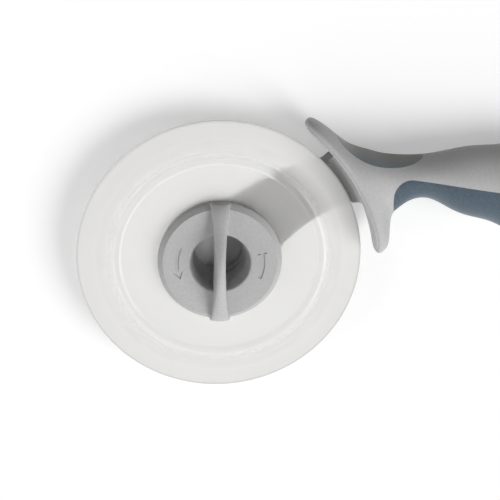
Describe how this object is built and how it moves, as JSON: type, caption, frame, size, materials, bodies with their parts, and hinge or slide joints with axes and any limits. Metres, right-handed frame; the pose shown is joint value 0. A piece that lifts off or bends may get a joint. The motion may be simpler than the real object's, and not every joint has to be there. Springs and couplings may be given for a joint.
{
  "type": "pizza cutter wheel",
  "caption": "Hand pizza cutter with a clear plastic wheel, a quarter-turn locking knob and a soft-grip handle with a curved guard.",
  "frame": {"origin": "centre of the peg hole at the back face of the boss, on the hub axis", "axes": "+Z along the hub axis, out of the locking knob; +X along the handle towards its butt; +Y to the thumb side"},
  "size_m": [0.2268, 0.1026, 0.026],
  "materials": {
    "gray_nylon": "fine matte grain",
    "soft_grip": "soft matte",
    "clear_wheel": "frosted middle, polished bevel",
    "acetal": "smooth",
    "silicone": "soft"
  },
  "bodies": {
    "handle": {"handle_frame": "gray_nylon", "thumb_pad": "soft_grip", "lower_grip": "soft_grip", "rear_washer": "acetal"},
    "wheel": {"blade_disc": "clear_wheel", "hub_bush": "acetal"},
    "washer": {"front_washer": "acetal"},
    "knob": {"locking_knob": "gray_nylon", "friction_ring": "silicone"}
  },
  "joints": [
    {"name": "wheel_spin", "type": "hinge", "parent": "handle", "child": "wheel", "pos_m": [0, 0, 0.0111], "axis": [0, 0, 1], "continuous": true},
    {"name": "knob_lift", "type": "slide", "parent": "handle", "child": "washer", "axis": [0, 0, 1], "range_m": [0, 0.0015]},
    {"name": "knob_turn", "type": "hinge", "parent": "washer", "child": "knob", "pos_m": [0, 0, 0.0133], "axis": [0, 0, 1], "range_deg": [0, 90]}
  ],
  "couplings": [
    {"joint": "knob_lift", "follows": "knob_turn", "m_per_rad": 0.00095493}
  ]
}
